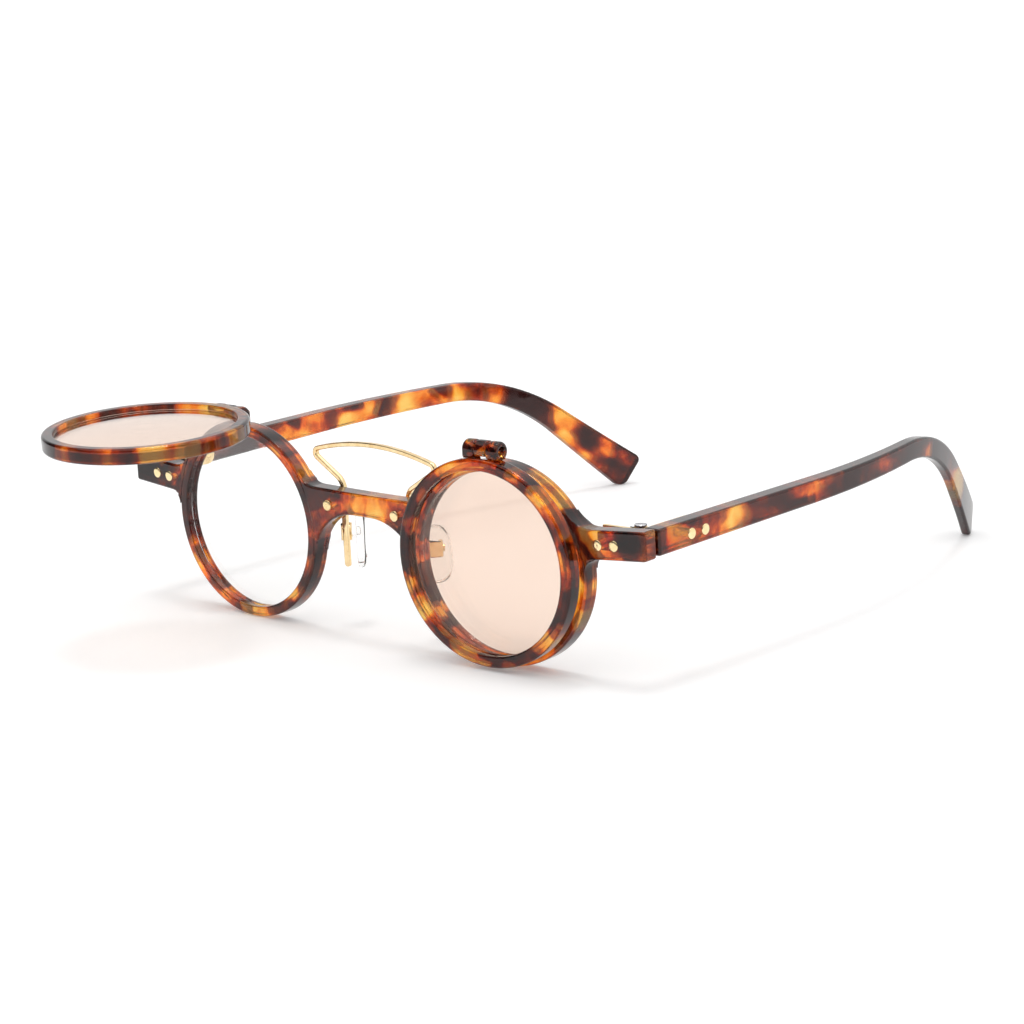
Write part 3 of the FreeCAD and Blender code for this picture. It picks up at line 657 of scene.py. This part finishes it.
def rivetProfile(r, length):
    h = length / 2

    def domed(wide):
        dimple = [(share * wide, h + r["dome"] - deep * r["dimple"]) for share, deep in r["dimpleShares"]]
        dome = [(share * wide, h + tall * r["dome"]) for share, tall in r["domeShares"]]
        return dimple + dome + [(wide, h - r["edge"])]

    under = h - r["headTall"]
    tail = [(wide, -up) for wide, up in domed(r["shank"])]
    return tail + [(r["shank"], under), (r["head"], under)] + list(reversed(domed(r["head"])))


def addRivets(node, body, outward):
    bm = bmesh.new()
    for centre, axis, length in looseRods(node, outward):
        lathe(bm, rivetProfile(rivetSet, length), alongAxis(centre, axis), rivetSet["steps"])
    addPiece(bm, node + ".domed", body, "creamGold", [node], rivetSet["smooth"])


for side, s in bothSides:
    addRivets("front_rivets_" + side, "front", forward)
    addRivets("temple_rivets_" + side, "temple_arm_" + side, (s, 0, 0))
addRivets("bridge_rivets", "front", forward)
print("rivets turned")


# Moulded and pressed pieces with their sharp edges rounded over

edgeSet = {  # node: width in mm, segments
    "front_frame": (0.55, 4),
    "temple_": (0.55, 4),
    "brow_bar": (0.24, 3),
    "pad_arm_": (0.16, 3),
    "pad_box_": (0.16, 2),
    "front_hinge_leaf_": (0.14, 2),
    "temple_hinge_leaf_": (0.14, 2),
    "flip_hinge_base_": (0.45, 4),
    "flip_hinge_ears_": (0.60, 4),
}
sharpSet = {"edge": 36, "smooth": 34}  # degrees
rivetRoom = {"plastic": 1.6, "bar": 1.4, "leaf": 1.3}  # edges this near a rivet's axis stay sharp, in mm
rimSet = {"middle": 34.7, "wide": 21.0, "tall": 19.74, "margin": 1.03}


def nearRods(rods, reach):
    def test(point):
        for centre, axis, length in rods:
            away = point - centre
            if (away - axis * away.dot(axis)).length < reach * mm:
                return True
        return False
    return test


def onRim(point):
    u = (abs(point.x) / mm - rimSet["middle"]) / rimSet["wide"]
    w = (point.z / mm - rimSet["tall"]) / rimSet["tall"]
    return math.hypot(u, w) < rimSet["margin"]


def addRounded(node, key, body, finish, skip=None):
    width, segments = edgeSet[key]
    bm = weldedMesh(node)
    roundEdges(bm, width, segments, sharpSet["edge"], skip)
    piece = addPiece(bm, node + ".rounded", body, finish, [node], sharpSet["smooth"])
    evened = piece.modifiers.new("evenShading", "WEIGHTED_NORMAL")
    evened.keep_sharp = True


frontRods = [rod for node in ("front_rivets_left", "front_rivets_right", "bridge_rivets")
             for rod in looseRods(node, forward)]
nearFrontRivet = nearRods(frontRods, rivetRoom["plastic"])
nearFrontLeaf = nearRods(frontRods, rivetRoom["leaf"])
addRounded("front_frame", "front_frame", "front", "tortoiseFront",
           lambda point: onRim(point) or nearFrontRivet(point))
addRounded("brow_bar", "brow_bar", "front", "paleGold", nearRods(frontRods, rivetRoom["bar"]))
for side, s in bothSides:
    templeRods = looseRods("temple_rivets_" + side, (s, 0, 0))
    arm, flip = "temple_arm_" + side, "flip_" + side
    addRounded("temple_" + side, "temple_", arm, "tortoiseTemple" + side.capitalize(),
               nearRods(templeRods, rivetRoom["plastic"]))
    addRounded("temple_hinge_leaf_" + side, "temple_hinge_leaf_", arm, "paleGold",
               nearRods(templeRods, rivetRoom["leaf"]))
    addRounded("front_hinge_leaf_" + side, "front_hinge_leaf_", "front", "paleGold",
               nearFrontLeaf)
    addRounded("pad_arm_" + side, "pad_arm_", "front", "paleGold")
    addRounded("pad_box_" + side, "pad_box_", "front", "paleGold")
    addRounded("flip_hinge_base_" + side, "flip_hinge_base_", "front", "tortoiseHinge")
    addRounded("flip_hinge_ears_" + side, "flip_hinge_ears_", flip, "tortoiseHinge")
print("edges rounded")


# Slotted screws and the hinge pins

screwSet = {  # mm, and how far each side's slot is turned, in degrees
    "hinge": {"shank": 0.6, "head": 1.2, "headTall": 0.5, "slotWide": 0.42, "slotDeep": 0.26,
              "twist": {"left": 24.0, "right": -41.0}},
    "pad": {"shank": 0.4, "head": 0.7, "headTall": 0.4, "slotWide": 0.22, "slotDeep": 0.16,
            "twist": {"left": 40.8, "right": -69.7}},
}
screwShares = {
    "tip": 0.7,  # of the shank's radius
    "chamfer": 0.3,
    "underside": 0.94,  # of the head's radius
    "lip": 0.06,
    "crown": [(1.0, 0.22), (0.93, 0.07), (0.78, 0.0)],  # of the head's radius, of its height
    "slotLong": 3.0,
}
pinSet = {
    "radius": 0.6,
    "crown": 0.14,
    "recess": 0.9,
    "endShares": [(0.0, 0.0), (0.6, 0.12), (0.88, 0.5), (1.0, 1.0)],  # of the radius, of the crown
}
turnedSet = {"screwSteps": 48, "screwSmooth": 34, "pinSteps": 32, "pinSmooth": 40}


def screwProfile(c, length):
    low, high = -length / 2, length / 2
    under = high - c["headTall"]
    wide, slim = c["head"], c["shank"]
    shares = screwShares
    shank = [(0, low), (shares["tip"] * slim, low), (slim, low + shares["chamfer"] * slim), (slim, under)]
    head = [(shares["underside"] * wide, under), (wide, under + shares["lip"] * wide)]
    crown = [(share * wide, high - down * c["headTall"]) for share, down in shares["crown"]]
    return shank + head + crown + [(0, high)]


def cutSlot(bm, matrix, c, length):
    # one straight driver slot across the head
    blank = bpy.data.meshes.new("screwBlank")
    bm.to_mesh(blank)
    bm.free()
    body = bpy.data.objects.new("screwBlank", blank)
    scene.collection.objects.link(body)
    knife = bmesh.new()
    bmesh.ops.create_cube(knife, size=1.0)
    slotLong = screwShares["slotLong"] * c["head"]
    size = Matrix.Diagonal((slotLong * mm, c["slotWide"] * mm, 2 * c["slotDeep"] * mm, 1))
    knife.transform(matrix @ Matrix.Translation((0, 0, length / 2 * mm)) @ size)
    knifeMesh = bpy.data.meshes.new("slotKnife")
    knife.to_mesh(knifeMesh)
    knife.free()
    cutter = bpy.data.objects.new("slotKnife", knifeMesh)
    scene.collection.objects.link(cutter)
    cut = body.modifiers.new("slot", "BOOLEAN")
    cut.operation = "DIFFERENCE"
    cut.solver = "EXACT"
    cut.object = cutter
    done = bmesh.new()
    done.from_object(body, bpy.context.evaluated_depsgraph_get())
    for spare in (body, cutter):
        bpy.data.objects.remove(spare)
    return done


def addScrew(kind, side, body, outward, finish):
    c = screwSet[kind]
    node = kind + "_screw_" + side
    centre, axis, length = looseRods(node, outward)[0]
    matrix = alongAxis(centre, axis) @ Matrix.Rotation(math.radians(c["twist"][side]), 4, "Z")
    bm = bmesh.new()
    lathe(bm, screwProfile(c, length), matrix, turnedSet["screwSteps"])
    bm = cutSlot(bm, matrix, c, length)
    addPiece(bm, node + ".slotted", body, finish, [node], turnedSet["screwSmooth"])


def addPin(node, body):
    centre, axis, length = looseRods(node, (1, 0, 0))[0]
    h = length / 2 - pinSet["recess"]
    end = [(share * pinSet["radius"], h - down * pinSet["crown"]) for share, down in pinSet["endShares"]]
    profile = [(r, -z) for r, z in end] + [(r, z) for r, z in reversed(end)]
    bm = bmesh.new()
    lathe(bm, profile, alongAxis(centre, axis), turnedSet["pinSteps"])
    addPiece(bm, node + ".turned", body, "turnedSteel", [node], turnedSet["pinSmooth"])


for side, s in bothSides:
    addScrew("hinge", side, "front", (0, 0, 1), "turnedSteel")
    addScrew("pad", side, "front", (s, 0.6, 0), "paleGold")
    addPin("flip_hinge_pin_" + side, "front")
print("screws and pins turned")


# Clear silicone nose pads, each one moulding round its lug

padSet = {
    "centre": (11.2, 8.584 + backShift, 16.4),  # mm
    "turn": 46.4,  # degrees
    "wide": 6.7,
    "tall": 11.6,
    "raise": 0.7,
    "taper": 0.10,
    "squareness": 2.5,  # 2 is an ellipse
    "rows": [(0.0, -0.28), (0.42, -0.30), (0.70, -0.36), (0.84, -0.47), (0.94, -0.40), (1.0, -0.08),
             (1.0, 0.45), (0.95, 1.05), (0.80, 1.52), (0.50, 1.82), (0.22, 1.90),
             (0.0, 1.91)],  # share of the outline, depth in mm
    "eyeUp": 2.4,
    "eyeOut": -2.0,
    "eyeRadius": 1.0,
    "eyeHole": 0.45,
    "lugThick": 1.0,
    "lugSunk": 0.35,
    "steps": 40,
    "smooth": 60,
}
nearZero = 0.01


def padOutline(c, t):
    power = 2 / c["squareness"]
    x = math.copysign(abs(math.cos(t)) ** power, math.cos(t))
    z = math.copysign(abs(math.sin(t)) ** power, math.sin(t))
    return c["wide"] / 2 * x * (1 - c["taper"] * z), c["tall"] / 2 * z + c["raise"]


def addPad(side, s):
    c = padSet
    steps = c["steps"]
    turns = [2 * math.pi * i / steps for i in range(steps)]
    bm = bmesh.new()
    place = Matrix.Translation(Vector(c["centre"]) * mm) @ Matrix.Rotation(math.radians(c["turn"]), 4, "Z")
    mirror = Matrix.Diagonal((s, 1, 1, 1))

    def at(x, y, z):
        return bm.verts.new(mirror @ place @ (Vector((x, y, z)) * mm))

    rows = []
    for scale, y in c["rows"]:
        if scale == 0:
            rows.append([at(0, y, c["raise"])])
            continue
        ring = []
        for t in turns:
            x, z = padOutline(c, t)
            ring.append(at(x * scale, y, (z - c["raise"]) * scale + c["raise"]))
        rows.append(ring)
    for low, high in zip(rows, rows[1:]):
        for i in range(steps):
            j = (i + 1) % steps
            if len(low) == 1:
                bm.faces.new((low[0], high[i], high[j]))
            elif len(high) == 1:
                bm.faces.new((low[i], high[0], low[j]))
            else:
                bm.faces.new((low[i], high[i], high[j], low[j]))
    # the lug is an eye that runs back into the pad
    lugSides = []
    for x in (-c["lugThick"] / 2, c["lugThick"] / 2):
        outer, inner = [], []
        for t in turns:
            out, up = math.cos(t), math.sin(t)
            reach = c["eyeRadius"]
            if out > 0:
                reach = min(c["eyeRadius"] / max(abs(up), nearZero), (c["lugSunk"] - c["eyeOut"]) / out)
            outer.append(at(x, c["eyeOut"] + reach * out, c["eyeUp"] + reach * up))
            inner.append(at(x, c["eyeOut"] + c["eyeHole"] * out, c["eyeUp"] + c["eyeHole"] * up))
        lugSides.append((outer, inner))
    (outerA, innerA), (outerB, innerB) = lugSides
    for i in range(steps):
        j = (i + 1) % steps
        bm.faces.new((outerA[i], outerA[j], innerA[j], innerA[i]))
        bm.faces.new((outerB[j], outerB[i], innerB[i], innerB[j]))
        bm.faces.new((outerA[j], outerA[i], outerB[i], outerB[j]))
        bm.faces.new((innerA[i], innerA[j], innerB[j], innerB[i]))
    bmesh.ops.recalc_face_normals(bm, faces=bm.faces)
    pad = addPiece(bm, "nose_pad_" + side + ".moulded", "pad_" + side, "clearSilicone",
                   ["nose_pad_" + side], c["smooth"])
    soften = pad.modifiers.new("soften", "SUBSURF")
    soften.levels = 1
    soften.render_levels = 2


for side, s in bothSides:
    addPad(side, s)
print("nose pads moulded")


# Finishes for the solids that stay as they are

def dress(node, finish):
    cadNodes[node].data.materials[0] = finishes[finish]


for side, flipFinish in (("left", "tortoiseFlipDown"), ("right", "tortoiseFlipUp")):
    dress("clear_lens_" + side, "clearLens")
    dress("tinted_lens_" + side, "tintedLens")
    dress("flip_rim_" + side, flipFinish)
print("lenses and flip rims dressed")
